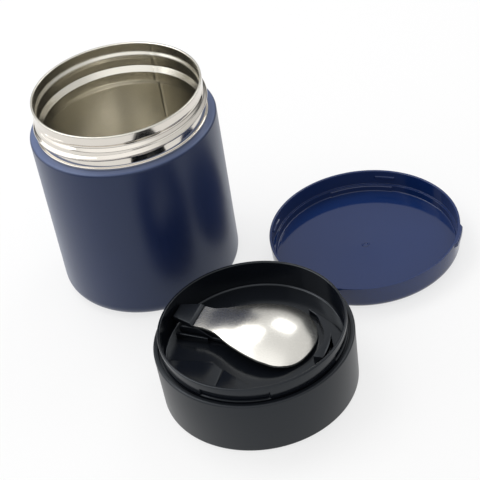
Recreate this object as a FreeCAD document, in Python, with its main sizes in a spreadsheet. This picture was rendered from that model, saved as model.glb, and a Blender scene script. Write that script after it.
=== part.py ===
import FreeCAD, Part
import math
import os
from types import SimpleNamespace

import Sketcher

# Insulated food jar, laid out in three groups on a table: the open vacuum jar, its screw lid with a
# folding spoon in the compartment on top, and the push-on cover of that compartment, turned over.
# Millimetres, +Z up, the origin at the centre of the jar's base.

DRIVING = [
    ("jar_radius", 49.0, "coated body under the shoulder"),
    ("foot_radius", 48.4, "coated body where the foot's curve starts"),
    ("foot_round", 12.0, "outer radius of the curve at the foot"),
    ("shoulder_height", 94.8, "flat shoulder of the body"),
    ("shell_wall", 0.8, "outer sheet"),
    ("shoulder_round", 1.4, "outer edge of the shoulder"),
    ("base_radius", 33.0, "opening in the foot that the base cover closes"),
    ("mouth_height", 114.5, "lip of the mouth"),
    ("neck_radius", 44.2, "outside of the neck"),
    ("neck_wall", 0.6, "sheet of the neck ring"),
    ("thread_crest", 45.7, "outside of the rolled thread band"),
    ("thread_height", 104.4, "middle of the thread band"),
    ("thread_width", 3.8, "thread band at its foot"),
    ("bead_radius", 45.0, "weld bead at the foot of the neck"),
    ("bead_height", 1.7, "height of that bead"),
    ("lip_groove", 109.2, "height of the fine groove under the lip"),
    ("groove_deep", 0.35, "depth of that groove"),
    ("mouth_radius", 43.0, "inside of the mouth"),
    ("seat_height", 100.6, "top of the sloping stopper seat"),
    ("throat_radius", 41.2, "inside of the throat under the seat"),
    ("throat_top", 97.4, "foot of the sloping seat"),
    ("throat_foot", 92.4, "where the throat opens out"),
    ("vessel_top", 88.0, "where the vessel reaches its full radius"),
    ("vessel_radius", 44.9, "inside of the vessel"),
    ("vessel_wall", 0.5, "inner sheet"),
    ("vessel_seam", 18.0, "weld between vessel wall and its bottom"),
    ("vessel_floor", 9.6, "inside floor of the vessel"),
    ("vessel_round", 7.5, "inner radius at the vessel's floor"),
    ("vacuum_bottom", 3.6, "underside of the vacuum bottom"),
    ("plug_radius", 2.2, "sealing plug of the vacuum space"),
    ("plug_flange", 3.4, "head of that plug"),
    ("plug_head", 0.8, "thickness of the head"),
    ("getter_offset", 24.0, "getter's distance from the jar's axis"),
    ("getter_clip", 7.0, "radius of the getter's clip"),
    ("getter_pill", 5.0, "radius of the getter's pill"),
    ("swage_in", 21.0, "inner edge of the base cover's swage"),
    ("swage_out", 27.0, "outer edge of the base cover's swage"),
    ("swage_deep", 0.5, "depth of that swage"),
    ("foil_gap", 0.35, "between vessel and heat shield"),
    ("foil_thick", 0.2, "heat shield sheet"),
    ("lid_x", 47.8, "lid centre"),
    ("lid_y", -108.9, "lid centre"),
    ("lid_radius", 49.5, "lid under its shoulder"),
    ("lid_foot", 48.8, "lid at its open end"),
    ("lid_shoulder", 30.6, "ledge round the compartment ring"),
    ("lid_round", 2.55, "outer edge of the open end"),
    ("lid_skirt", 3.3, "wall of the screw skirt"),
    ("rib_proud", 1.7, "screw rib inside the skirt"),
    ("rib_low", 6.0, "foot of the lower screw rib"),
    ("rib_pitch", 5.4, "from one screw rib to the next"),
    ("rib_height", 3.0, "screw rib at its foot"),
    ("deck_under", 20.3, "underside of the deck over the neck"),
    ("deck_top", 21.9, "top of the deck"),
    ("ring_radius", 46.3, "outside of the compartment ring"),
    ("ring_wall", 1.5, "wall of the compartment ring"),
    ("ring_top", 38.4, "rim of the compartment"),
    ("tray_floor", 23.5, "floor of the compartment"),
    ("foot_groove", 0.6, "gap round the ring's foot"),
    ("groove_depth", 1.2, "depth of that gap"),
    ("rail_inner", 8.4, "hinge rail's inner side from the spoon's axis"),
    ("rail_outer", 9.8, "hinge rail's outer side from the spoon's axis"),
    ("rail_back", 9.5, "hinge rail behind the end of the neck"),
    ("rail_front", 8.0, "hinge rail before the end of the neck"),
    ("rail_height", 3.5, "hinge rail over the floor"),
    ("rest_height", 4.0, "rest round the spoon's tip over the floor"),
    ("pad_height", 1.6, "front pad over the floor"),
    ("step_height", 0.8, "left step over the floor"),
    ("cup_radius", 40.4, "outside of the stopper cup"),
    ("cup_wall", 1.5, "wall of the stopper cup"),
    ("cup_under", 2.4, "underside of the stopper cup"),
    ("cup_step", 1.2, "step at the foot of the stopper cup"),
    ("gasket_seat", 0.9, "depth of the gasket's groove"),
    ("gasket_low", 4.4, "lower face of the gasket"),
    ("gasket_high", 8.2, "upper face of the gasket"),
    ("gasket_radius", 42.5, "lip of the gasket"),
    ("spoon_angle", -28.5, "plan angle of the spoon's axis in degrees"),
    ("neck_end_x", -24.9, "end of the spoon's neck from the lid centre"),
    ("neck_end_y", 18.5, "end of the spoon's neck from the lid centre"),
    ("pin_back", 6.0, "hinge pin behind the end of the neck"),
    ("pin_height", 28.0, "hinge pin over the table"),
    ("pin_radius", 1.0, "hinge pin"),
    ("ear_radius", 2.3, "handle ears round the pin"),
    ("ear_gap", 9.8, "slot between the ears"),
    ("handle_width", 15.0, "spoon handle"),
    ("handle_under", 23.8, "underside of the folded handle"),
    ("handle_thick", 2.1, "handle plate"),
    ("handle_reach", 54.0, "far end of the folded handle"),
    ("scoop_start", 26.0, "near end of the thumb hollow"),
    ("scoop_end", 48.0, "far end of the thumb hollow"),
    ("scoop_half", 4.2, "half the width of the thumb hollow"),
    ("scoop_deep", 0.7, "depth of the thumb hollow"),
    ("knuckle_back", 12.2, "rear face of the hinge block"),
    ("knuckle_front", 0.3, "front face of the hinge block"),
    ("knuckle_width", 16.0, "hinge block at its front"),
    ("knuckle_rear", 9.2, "hinge block at its rear"),
    ("knuckle_under", 30.6, "underside of the hinge block's cap"),
    ("knuckle_top", 33.2, "top of the hinge block"),
    ("knuckle_slope", 1.8, "sloping front edge of the hinge block"),
    ("bowl_half", 20.3, "half the width of the spoon's bowl"),
    ("bowl_length", 60.2, "from the end of the neck to the tip"),
    ("bowl_sheet", 1.1, "spoon sheet"),
    ("neck_half", 7.4, "half the width of the spoon's neck"),
    ("neck_top", 31.9, "top of the spoon's neck"),
    ("cover_x", 116.4, "cover centre"),
    ("cover_y", -20.7, "cover centre"),
    ("cover_turn", -23.0, "plan angle of the finger tab in degrees"),
    ("cover_radius", 51.5, "outside of the cover"),
    ("cover_rim", 14.2, "open rim of the turned-over cover"),
    ("cover_wall", 1.3, "skirt of the cover"),
    ("cover_step", 5.7, "inner ledge where the wall gets thicker"),
    ("cover_floor", 1.8, "top plate of the cover"),
    ("cover_inner", 48.9, "inside of the cover below its ledge"),
    ("cover_round", 5.0, "outer edge of the top plate"),
    ("cover_taper", 0.4, "how much the skirt narrows to the top plate"),
    ("lug_depth", 0.7, "catch lug on the cover's skirt"),
    ("lug_low", 9.2, "lower edge of a catch lug"),
    ("lug_high", 10.8, "upper edge of a catch lug"),
    ("lug_angle", 13.0, "arc of a catch lug in degrees"),
    ("thick_turn", 106.0, "plan angle from the tab to the thickened wall in degrees"),
    ("thick_angle", 42.0, "arc of the thickened wall in degrees"),
    ("thick_proud", 0.6, "how far the thickened wall stands in"),
    ("thick_top", 5.0, "upper edge of the thickened wall"),
    ("gate_radius", 2.0, "mark where the plastic entered the mould"),
    ("gate_proud", 0.3, "height of that mark"),
    ("window_turn", -17.7, "plan angle of a window's middle in degrees"),
    ("window_angle", 42.5, "arc of a window in the ring in degrees"),
    ("window_depth", 0.7, "depth of a window in the ring"),
    ("window_low", 0.2, "foot of a window over the ledge"),
    ("window_height", 4.0, "window in the ring"),
    ("tab_angle", 20.0, "arc of the finger tab in degrees"),
    ("tab_depth", 1.5, "how far the finger tab stands out"),
    ("tab_height", 2.6, "finger tab, down from the rim"),
]

doc = FreeCAD.newDocument("insulated_food_jar")
sheet = doc.addObject("Spreadsheet::Sheet", "Sizes")


class Size:
    """A length with the sheet expression that it comes from, so that both are worked out together."""

    def __init__(self, value, text):
        self.value = value
        self.text = text

    @staticmethod
    def of(other):
        return other if isinstance(other, Size) else Size(float(other), repr(float(other)))

    def __add__(self, other):
        other = Size.of(other)
        return Size(self.value + other.value, f"({self.text} + {other.text})")

    def __sub__(self, other):
        other = Size.of(other)
        return Size(self.value - other.value, f"({self.text} - {other.text})")

    def __mul__(self, other):
        other = Size.of(other)
        return Size(self.value * other.value, f"({self.text} * {other.text})")

    def __neg__(self):
        return Size(-self.value, f"(-1 * {self.text})")


def fill_sheet():
    """Writes the driving dimensions into the sheet and returns them as named sizes."""
    named = SimpleNamespace()
    for row, (alias, value, note) in enumerate(DRIVING, start=1):
        sheet.set(f"A{row}", note)
        sheet.set(f"B{row}", str(value))
        sheet.setAlias(f"B{row}", alias)
        setattr(named, alias, Size(value, f"Sizes.{alias}"))
    doc.recompute()
    return named


d = fill_sheet()


def origin_feature(body, role):
    return next(f for f in body.Origin.OriginFeatures if f.Role == role)


def new_body(label, place=None):
    """A named body; place holds the x, y, z sizes of its origin, all zero when left out."""
    body = doc.addObject("PartDesign::Body", label)
    body.Label = label
    for letter, size in zip("xyz", place or ()):
        body.setExpression(f"Placement.Base.{letter}", Size.of(size).text)
    return body


def turn_spoonwise(body):
    """Turns a body about Z so that its X runs along the spoon."""
    body.setExpression("Placement.Rotation.Angle", d.spoon_angle.text)


def new_sketch(body, name, role, lift=None):
    sketch = body.newObject("Sketcher::SketchObject", name)
    sketch.AttachmentSupport = [(origin_feature(body, role), "")]
    sketch.MapMode = "FlatFace"
    if lift is not None:
        sketch.setExpression("AttachmentOffset.Base.z", Size.of(lift).text)
    return sketch


def pin_point(sketch, index, end, x, y, name):
    """Ties one end of an edge to its two sizes."""
    for kind, size, axis in (("DistanceX", x, -2), ("DistanceY", y, -1)):
        size = Size.of(size)
        if abs(size.value) < 1e-9:
            sketch.addConstraint(Sketcher.Constraint("PointOnObject", index, end, axis))
            continue
        row = sketch.addConstraint(Sketcher.Constraint(kind, -1, 1, index, end, size.value))
        sketch.renameConstraint(row, f"{name}{kind[-1]}")
        sketch.setExpression(f"Constraints.{name}{kind[-1]}", size.text)


def draw_outline(sketch, corners):
    """A closed run of straight edges through (x, y) corners given as sizes."""
    corners = [(Size.of(x), Size.of(y)) for x, y in corners]
    points = [FreeCAD.Vector(x.value, y.value, 0) for x, y in corners]
    count = len(points)
    for i in range(count):
        sketch.addGeometry(Part.LineSegment(points[i], points[(i + 1) % count]), False)
    for i in range(count):
        sketch.addConstraint(Sketcher.Constraint("Coincident", i, 2, (i + 1) % count, 1))
        pin_point(sketch, i, 1, corners[i][0], corners[i][1], f"corner{i}")


def draw_circle(sketch, x, y, radius):
    x, y, radius = Size.of(x), Size.of(y), Size.of(radius)
    centre = FreeCAD.Vector(x.value, y.value, 0)
    index = sketch.addGeometry(Part.Circle(centre, FreeCAD.Vector(0, 0, 1), radius.value), False)
    pin_point(sketch, index, 3, x, y, f"centre{index}")
    row = sketch.addConstraint(Sketcher.Constraint("Radius", index, radius.value))
    sketch.renameConstraint(row, f"radius{index}")
    sketch.setExpression(f"Constraints.radius{index}", radius.text)


def turned(body, name, corners, angle=None, turn_by=None, kind="PartDesign::Revolution"):
    """Turns an outline of (radius, height) corners about Z; turn_by swings an arc's middle round."""
    sketch = new_sketch(body, f"{name}_section", "XZ_Plane")
    if turn_by is not None:
        swing = FreeCAD.Rotation(FreeCAD.Vector(0, 1, 0), turn_by.value)
        sketch.AttachmentOffset = FreeCAD.Placement(FreeCAD.Vector(), swing)
        sketch.setExpression("AttachmentOffset.Rotation.Angle", turn_by.text)
    draw_outline(sketch, corners)
    turn = body.newObject(kind, name)
    turn.Profile = sketch
    turn.ReferenceAxis = (sketch, ["V_Axis"])
    if angle is None:
        turn.Angle = 360
    else:
        turn.setExpression("Angle", angle.text)
        turn.Midplane = True
    body.Tip = turn
    doc.recompute()
    return turn


def padded(body, name, corners, height, lift=0, role="XY_Plane", both_ways=False, kind="Pad"):
    """Pads or pockets an outline, drawn on an origin plane, by a length."""
    sketch = new_sketch(body, f"{name}_outline", role, lift)
    draw_outline(sketch, corners)
    return raised(body, name, sketch, height, both_ways, kind)


def raised(body, name, sketch, height, both_ways=False, kind="Pad"):
    feature = body.newObject(f"PartDesign::{kind}", name)
    feature.Profile = sketch
    feature.setExpression("Length", Size.of(height).text)
    feature.Midplane = both_ways
    body.Tip = feature
    doc.recompute()
    return feature


def patterned(body, name, original, count):
    """Repeats a feature round the body's Z axis."""
    pattern = body.newObject("PartDesign::PolarPattern", name)
    pattern.Originals = [original]
    pattern.Axis = (origin_feature(body, "Z_Axis"), [""])
    pattern.Angle = 360
    pattern.Occurrences = count
    body.Tip = pattern
    doc.recompute()
    return pattern


def circle_edges(shape, wanted):
    """Names of the full circles of a shape at the (radius, height) pairs wanted."""
    names = []
    for radius, height in wanted:
        for number, edge in enumerate(shape.Edges, start=1):
            curve = edge.Curve
            if not isinstance(curve, Part.Circle):
                continue
            same = abs(curve.Radius - Size.of(radius).value) < 0.01
            if same and abs(curve.Center.z - Size.of(height).value) < 0.01:
                names.append(f"Edge{number}")
    return names


def rounded(body, name, radius, wanted=None, edges=None):
    """Fillets circles of the body's last feature, or edges that a test picks."""
    base = body.Tip
    shape = base.Shape
    if wanted is not None:
        names = circle_edges(shape, wanted)
    else:
        names = [f"Edge{n}" for n, edge in enumerate(shape.Edges, start=1) if edges(edge)]
    if not names:
        raise RuntimeError(f"{name}: no edge to round")
    fillet = body.newObject("PartDesign::Fillet", name)
    fillet.Base = (base, names)
    fillet.setExpression("Radius", Size.of(radius).text)
    body.Tip = fillet
    doc.recompute()
    return fillet


# The vacuum jar.


def outer_shell():
    """Coated steel body: a tapered tube with a flat shoulder and a curved foot."""
    body = new_body("outer_shell")
    wall = d.shell_wall
    taper = d.jar_radius - d.foot_radius
    turned(body, "outer_shell_sheet", [
        (d.neck_radius, d.shoulder_height),
        (d.jar_radius, d.shoulder_height),
        (d.jar_radius - taper, 0),
        (d.base_radius, 0),
        (d.base_radius, wall),
        (d.jar_radius - taper - wall, wall),
        (d.jar_radius - wall, d.shoulder_height - wall),
        (d.neck_radius, d.shoulder_height - wall),
    ])
    rounded(body, "foot_curve", d.foot_round, [(d.foot_radius, 0)])
    rounded(body, "foot_curve_inside", d.foot_round - wall, [(d.foot_radius - wall, wall)])
    rounded(body, "shoulder_curve", d.shoulder_round, [(d.jar_radius, d.shoulder_height)])
    rounded(body, "shoulder_curve_inside", d.shoulder_round - wall,
            [(d.jar_radius - wall, d.shoulder_height - wall)])


def neck_ring():
    """Bright steel neck: weld bead at its foot, rolled thread band, lip groove and lip."""
    body = new_body("neck_ring")
    wall = d.neck_wall
    out = d.neck_radius
    half = d.thread_width * 0.5
    crest = d.thread_width * 0.18
    groove = d.groove_deep
    turned(body, "neck_ring_sheet", [
        (out - wall, d.shoulder_height - d.shell_wall),
        (out - wall, d.thread_height - half),
        (d.thread_crest - wall, d.thread_height - crest),
        (d.thread_crest - wall, d.thread_height + crest),
        (out - wall, d.thread_height + half),
        (out - wall, d.mouth_height - wall),
        (out, d.mouth_height - wall),
        (out, d.lip_groove + groove),
        (out - groove, d.lip_groove),
        (out, d.lip_groove - groove),
        (out, d.thread_height + half),
        (d.thread_crest, d.thread_height + crest),
        (d.thread_crest, d.thread_height - crest),
        (out, d.thread_height - half),
        (out, d.shoulder_height + d.bead_height),
        (d.bead_radius, d.shoulder_height + d.bead_height),
        (d.bead_radius, d.shoulder_height),
        (out, d.shoulder_height),
        (out, d.shoulder_height - d.shell_wall),
    ])
    rounded(body, "bead_curve", d.bead_height * 0.42, [
        (d.bead_radius, d.shoulder_height + d.bead_height),
    ])
    rounded(body, "thread_curve", 0.5, [
        (d.thread_crest, d.thread_height + crest),
        (d.thread_crest, d.thread_height - crest),
    ])


def inner_vessel():
    """Inner sheet from the lip down: mouth, sloping stopper seat, throat and vessel wall."""
    body = new_body("inner_vessel")
    wall = d.vessel_wall
    lip = d.neck_radius
    turned(body, "inner_vessel_sheet", [
        (d.mouth_radius, d.mouth_height),
        (lip, d.mouth_height),
        (lip, d.mouth_height - d.neck_wall),
        (d.mouth_radius + wall, d.mouth_height - d.neck_wall),
        (d.mouth_radius + wall, d.seat_height - wall * 0.5),
        (d.throat_radius + wall, d.throat_top - wall * 0.5),
        (d.throat_radius + wall, d.throat_foot),
        (d.vessel_radius + wall, d.vessel_top + wall * 0.5),
        (d.vessel_radius + wall, d.vessel_seam),
        (d.vessel_radius, d.vessel_seam),
        (d.vessel_radius, d.vessel_top),
        (d.throat_radius, d.throat_foot - wall * 0.5),
        (d.throat_radius, d.throat_top),
        (d.mouth_radius, d.seat_height),
    ])
    rounded(body, "seat_curve", 0.8, [(d.throat_radius, d.throat_top)])
    rounded(body, "vessel_curve", 1.6, [
        (d.vessel_radius, d.vessel_top),
        (d.throat_radius, d.throat_foot - wall * 0.5),
    ])
    rounded(body, "lip_curve", 0.28, [
        (lip, d.mouth_height),
        (d.mouth_radius, d.mouth_height),
    ])


def inner_bottom():
    """Pressed dish that is welded under the vessel wall."""
    body = new_body("inner_bottom")
    wall = d.vessel_wall
    out = d.vessel_radius + wall
    turned(body, "inner_bottom_sheet", [
        (0, d.vessel_floor - wall),
        (out, d.vessel_floor - wall),
        (out, d.vessel_seam),
        (d.vessel_radius, d.vessel_seam),
        (d.vessel_radius, d.vessel_floor),
        (0, d.vessel_floor),
    ])
    rounded(body, "floor_curve", d.vessel_round, [(d.vessel_radius, d.vessel_floor)])
    rounded(body, "floor_curve_outside", d.vessel_round + wall, [(out, d.vessel_floor - wall)])


def outer_bottom():
    """Plate that closes the vacuum space; its edge is welded to the curve of the foot."""
    body = new_body("outer_bottom")
    inside = d.foot_round.value - d.shell_wall.value
    drop = d.foot_round.value - d.vacuum_bottom.value
    edge = d.foot_radius.value - d.foot_round.value + math.sqrt(inside ** 2 - drop ** 2) - 0.05
    turned(body, "outer_bottom_plate", [
        (d.plug_radius, d.vacuum_bottom),
        (edge, d.vacuum_bottom),
        (edge, d.vacuum_bottom + d.shell_wall),
        (d.plug_radius, d.vacuum_bottom + d.shell_wall),
    ])


def vacuum_plug():
    """Solder bead that seals the hole through which the space was pumped out."""
    body = new_body("vacuum_plug")
    turned(body, "vacuum_plug_bead", [
        (0, d.vacuum_bottom - d.plug_head),
        (d.plug_flange, d.vacuum_bottom - d.plug_head),
        (d.plug_flange, d.vacuum_bottom),
        (d.plug_radius, d.vacuum_bottom),
        (d.plug_radius, d.vacuum_bottom + d.shell_wall),
        (0, d.vacuum_bottom + d.shell_wall),
    ])
    rounded(body, "bead_edge", 0.5, [(d.plug_flange, d.vacuum_bottom - d.plug_head)])


def getter():
    """Pill in a clip, off centre on the vacuum plate, that takes up stray gas."""
    body = new_body("getter", (d.getter_offset, 0, 0))
    seat = d.vacuum_bottom + d.shell_wall
    turned(body, "getter_pill", [
        (0, seat),
        (d.getter_clip, seat),
        (d.getter_clip, seat + 0.4),
        (d.getter_pill, seat + 0.4),
        (d.getter_pill, seat + 2.4),
        (0, seat + 2.4),
    ])


def radiation_foil():
    """Thin metal sleeve round the vessel wall, inside the vacuum."""
    body = new_body("radiation_foil")
    inside = d.vessel_radius + d.vessel_wall + d.foil_gap
    turned(body, "radiation_foil_sleeve", [
        (inside, d.vessel_seam + 2),
        (inside + d.foil_thick, d.vessel_seam + 2),
        (inside + d.foil_thick, d.vessel_top - 3),
        (inside, d.vessel_top - 3),
    ])


def base_cover():
    """Pressed disc that closes the foot flush with the table, with one ring-shaped swage."""
    body = new_body("base_cover")
    swage_in, swage_out, swage_deep = d.swage_in, d.swage_out, d.swage_deep
    edge = d.base_radius - 0.1
    turned(body, "base_cover_disc", [
        (0, 0),
        (swage_in, 0),
        (swage_in + swage_deep, swage_deep),
        (swage_out, swage_deep),
        (swage_out + swage_deep, 0),
        (edge, 0),
        (edge, d.shell_wall),
        (swage_out + swage_deep, d.shell_wall),
        (swage_out, d.shell_wall + swage_deep),
        (swage_in + swage_deep, d.shell_wall + swage_deep),
        (swage_in, d.shell_wall),
        (0, d.shell_wall),
    ])


# The screw lid with its compartment.


def lid_place():
    return (d.lid_x, d.lid_y, 0)


def lid_shell():
    """Black lid: screw skirt with inner thread ribs, ledge, and the deck over the neck."""
    body = new_body("lid_shell", lid_place())
    inside = d.lid_radius - d.lid_skirt
    opening = d.ring_radius + d.foot_groove
    groove_floor = d.lid_shoulder - d.groove_depth
    turned(body, "lid_shell_moulding", [
        (0, d.deck_under),
        (inside, d.deck_under),
        (inside, 0),
        (d.lid_foot, 0),
        (d.lid_radius, d.lid_shoulder),
        (opening, d.lid_shoulder),
        (opening, groove_floor),
        (d.ring_radius, groove_floor),
        (d.ring_radius, d.deck_top),
        (0, d.deck_top),
    ])
    for number in range(2):
        low = d.rib_low + d.rib_pitch * number
        turned(body, f"screw_rib_{number}", [
            (inside - d.rib_proud, low + d.rib_height * 0.36),
            (inside + 0.2, low),
            (inside + 0.2, low + d.rib_height),
            (inside - d.rib_proud, low + d.rib_height * 0.64),
        ])
    rounded(body, "skirt_end", d.lid_round, [(d.lid_foot, 0)])
    rounded(body, "ledge_edge", 0.9, [(d.lid_radius, d.lid_shoulder)])


def spoon_xy(along, across):
    """A point of the lid's plan, given along and across the spoon from the end of its neck."""
    angle = math.radians(d.spoon_angle.value)
    x = d.neck_end_x.value + along * math.cos(angle) - across * math.sin(angle)
    y = d.neck_end_y.value + along * math.sin(angle) + across * math.cos(angle)
    return x, y


# Outlines on the compartment's floor, from the lid's centre. The rest is a band round the spoon's tip
# that widens into a platform at the ring; a notch parts the two.
TIP_REST = [
    (28.9, 14.3), (33.5, 10.0), (37.7, 3.5), (40.6, -0.8), (42.3, -6.0), (45.0, -7.2), (43.6, -13.3),
    (41.0, -19.9), (37.6, -25.7), (36.8, -24.6), (36.8, -7.5), (35.8, -10.7), (33.7, -14.2),
    (31.3, -17.6), (29.1, -20.5), (26.0, -19.1), (29.9, -13.8), (32.6, -9.3), (33.7, -4.3),
    (33.6, -0.2), (32.9, 4.6), (32.0, 9.2), (30.4, 12.2),
]
FRONT_PAD = [(-16.9, -15.2), (-4.0, -32.0), (-3.0, -45.0), (-28.0, -35.2), (-21.9, -25.5)]
LEFT_STEP = [
    (-45.2, -0.5), (-27.5, -5.5), (-21.6, -7.6), (-17.6, -14.4), (-22.3, -25.5), (-28.4, -35.2),
    (-38.0, -24.0),
]


def spoon_tray():
    """Compartment: floor and ring with four windows, rails for the hinge and a rest for the tip."""
    body = new_body("spoon_tray", lid_place())
    inside = d.ring_radius - d.ring_wall
    turned(body, "tray_dish", [
        (0, d.deck_top),
        (d.ring_radius, d.deck_top),
        (d.ring_radius, d.ring_top),
        (inside, d.ring_top),
        (inside, d.tray_floor),
        (0, d.tray_floor),
    ])
    rounded(body, "rim_curve", 0.5, [(d.ring_radius, d.ring_top), (inside, d.ring_top)])
    rounded(body, "tray_corner", 1.2, [(inside, d.tray_floor)])
    sill = d.lid_shoulder + d.window_low
    window = turned(body, "ring_window", [
        (d.ring_radius - d.window_depth, sill),
        (d.ring_radius + 1, sill),
        (d.ring_radius + 1, sill + d.window_height),
        (d.ring_radius - d.window_depth, sill + d.window_height),
    ], angle=d.window_angle, turn_by=d.window_turn, kind="PartDesign::Groove")
    patterned(body, "ring_windows", window, 4)
    for side, name in ((-1, "near"), (1, "far")):
        rail = [
            (-d.rail_back, d.rail_inner), (d.rail_front, d.rail_inner),
            (d.rail_front, d.rail_outer), (-d.rail_back, d.rail_outer),
        ]
        padded(body, f"hinge_rail_{name}", [
            spoon_xy(along.value, side * across.value) for along, across in rail
        ], d.rail_height, lift=d.tray_floor)
    padded(body, "tip_rest", TIP_REST, d.rest_height, lift=d.tray_floor)
    padded(body, "front_pad", FRONT_PAD, d.pad_height, lift=d.tray_floor)
    padded(body, "left_step", LEFT_STEP, d.step_height, lift=d.tray_floor)


def insulation_disc():
    """Foam that fills the stopper between the deck and the cup."""
    body = new_body("insulation_disc", lid_place())
    turned(body, "foam", [
        (0, d.cup_under + d.cup_wall + 0.1),
        (d.cup_radius - d.cup_wall - 0.3, d.cup_under + d.cup_wall + 0.1),
        (d.cup_radius - d.cup_wall - 0.3, d.deck_under - 0.3),
        (0, d.deck_under - 0.3),
    ])
    rounded(body, "foam_edge", 2.5, [
        (d.cup_radius - d.cup_wall - 0.3, d.cup_under + d.cup_wall + 0.1),
    ])


def stopper_cup():
    """Cup under the deck that reaches into the jar's throat, with a groove for the gasket."""
    body = new_body("stopper_cup", lid_place())
    out = d.cup_radius
    wall = d.cup_wall
    groove = d.gasket_seat
    foot = out - d.cup_step
    turned(body, "stopper_cup_moulding", [
        (0, d.cup_under),
        (foot, d.cup_under),
        (foot, d.gasket_low - 0.6),
        (out, d.gasket_low - 0.6),
        (out, d.gasket_low),
        (out - groove, d.gasket_low),
        (out - groove, d.gasket_high),
        (out, d.gasket_high),
        (out, d.deck_under),
        (out - wall, d.deck_under),
        (out - wall, d.cup_under + wall),
        (0, d.cup_under + wall),
    ])
    rounded(body, "cup_edge", 0.9, [(foot, d.cup_under)])
    rounded(body, "cup_edge_inside", 2.2, [(out - wall, d.cup_under + wall)])


def lid_gasket():
    """Silicone ring in the cup's groove, with a thin lip that presses on the sloping seat."""
    body = new_body("lid_gasket", lid_place())
    inner = d.cup_radius - d.gasket_seat
    turned(body, "gasket_ring", [
        (inner, d.gasket_low),
        (d.cup_radius + 0.6, d.gasket_low),
        (d.gasket_radius, d.gasket_low + 1.6),
        (d.gasket_radius, d.gasket_low + 2.3),
        (d.cup_radius + 0.7, d.gasket_low + 1.6),
        (d.cup_radius + 0.7, d.gasket_high),
        (inner, d.gasket_high),
    ])


# The folding spoon.


def spoon_place():
    """Place of the spoon's frame: the end of its neck, X along the spoon, at table height."""
    return (d.lid_x + d.neck_end_x, d.lid_y + d.neck_end_y, 0)


def spoon_handle():
    """Handle folded flat on the compartment's floor, with two ears that hold the hinge pin."""
    body = new_body("spoon_handle", spoon_place())
    turn_spoonwise(body)
    half = d.handle_width * 0.5
    top = d.handle_under + d.handle_thick
    start = 0.4
    sketch = new_sketch(body, "handle_outline", "XY_Plane", d.handle_under)
    draw_handle_outline(sketch, start, half)
    raised(body, "handle_plate", sketch, d.handle_thick)
    padded(body, "ear_block", [
        (-d.pin_back, d.pin_height - d.ear_radius),
        (start, d.pin_height - d.ear_radius),
        (start, d.handle_under),
        (10.0, d.handle_under),
        (10.0, top),
        (2.2, d.pin_height + d.ear_radius),
        (-d.pin_back, d.pin_height + d.ear_radius),
    ], d.handle_width, role="XZ_Plane", both_ways=True)
    ears = new_sketch(body, "ear_rounds", "XZ_Plane")
    draw_circle(ears, -d.pin_back, d.pin_height, d.ear_radius)
    raised(body, "ear_ends", ears, d.handle_width, both_ways=True)
    slot = d.ear_gap * 0.5
    padded(body, "ear_slot", [
        (-9.5, -slot), (-1.2, -slot), (-1.2, slot), (-9.5, slot),
    ], 20, lift=d.handle_under + 15, kind="Pocket")
    hole = new_sketch(body, "pin_hole", "XZ_Plane")
    draw_circle(hole, -d.pin_back, d.pin_height, d.pin_radius)
    raised(body, "pin_holes", hole, d.handle_width * 2, both_ways=True, kind="Pocket")
    padded(body, "thumb_scoop", [
        (d.scoop_start, -d.scoop_half),
        (d.scoop_end, -d.scoop_half),
        (d.scoop_end, d.scoop_half),
        (d.scoop_start, d.scoop_half),
    ], d.scoop_deep, lift=top, kind="Pocket")
    rim = top.value

    def upper_edge(edge):
        flat = all(abs(v.Z - rim) < 0.01 for v in edge.Vertexes)
        outside = all(abs(abs(v.Y) - half.value) < 0.01 for v in edge.Vertexes)
        return flat and outside and edge.Length > 12

    rounded(body, "handle_edge", 0.6, edges=upper_edge)


def draw_handle_outline(sketch, start, half):
    """A strip with a half-round far end."""
    reach = d.handle_reach - half
    side = half.value
    corners = [(reach.value, side), (start, side), (start, -side), (reach.value, -side)]
    points = [FreeCAD.Vector(x, y, 0) for x, y in corners]
    for begin, end in zip(points, points[1:]):
        sketch.addGeometry(Part.LineSegment(begin, end), False)
    circle = Part.Circle(FreeCAD.Vector(reach.value, 0, 0), FreeCAD.Vector(0, 0, 1), side)
    sketch.addGeometry(Part.ArcOfCircle(circle, -math.pi / 2, math.pi / 2), False)
    for first, end, second, begin in ((0, 2, 1, 1), (1, 2, 2, 1), (2, 2, 3, 1), (3, 2, 0, 1)):
        sketch.addConstraint(Sketcher.Constraint("Coincident", first, end, second, begin))
    pin_point(sketch, 0, 1, reach, half, "far")
    pin_point(sketch, 0, 2, start, half, "left")
    pin_point(sketch, 1, 2, start, -half, "right")
    pin_point(sketch, 2, 2, reach, -half, "near")


def hinge_pin():
    """Steel pin across the ears."""
    body = new_body("hinge_pin", spoon_place())
    turn_spoonwise(body)
    sketch = new_sketch(body, "pin_circle", "XZ_Plane")
    draw_circle(sketch, -d.pin_back, d.pin_height, d.pin_radius)
    raised(body, "pin", sketch, d.handle_width - 0.2, both_ways=True)


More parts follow.
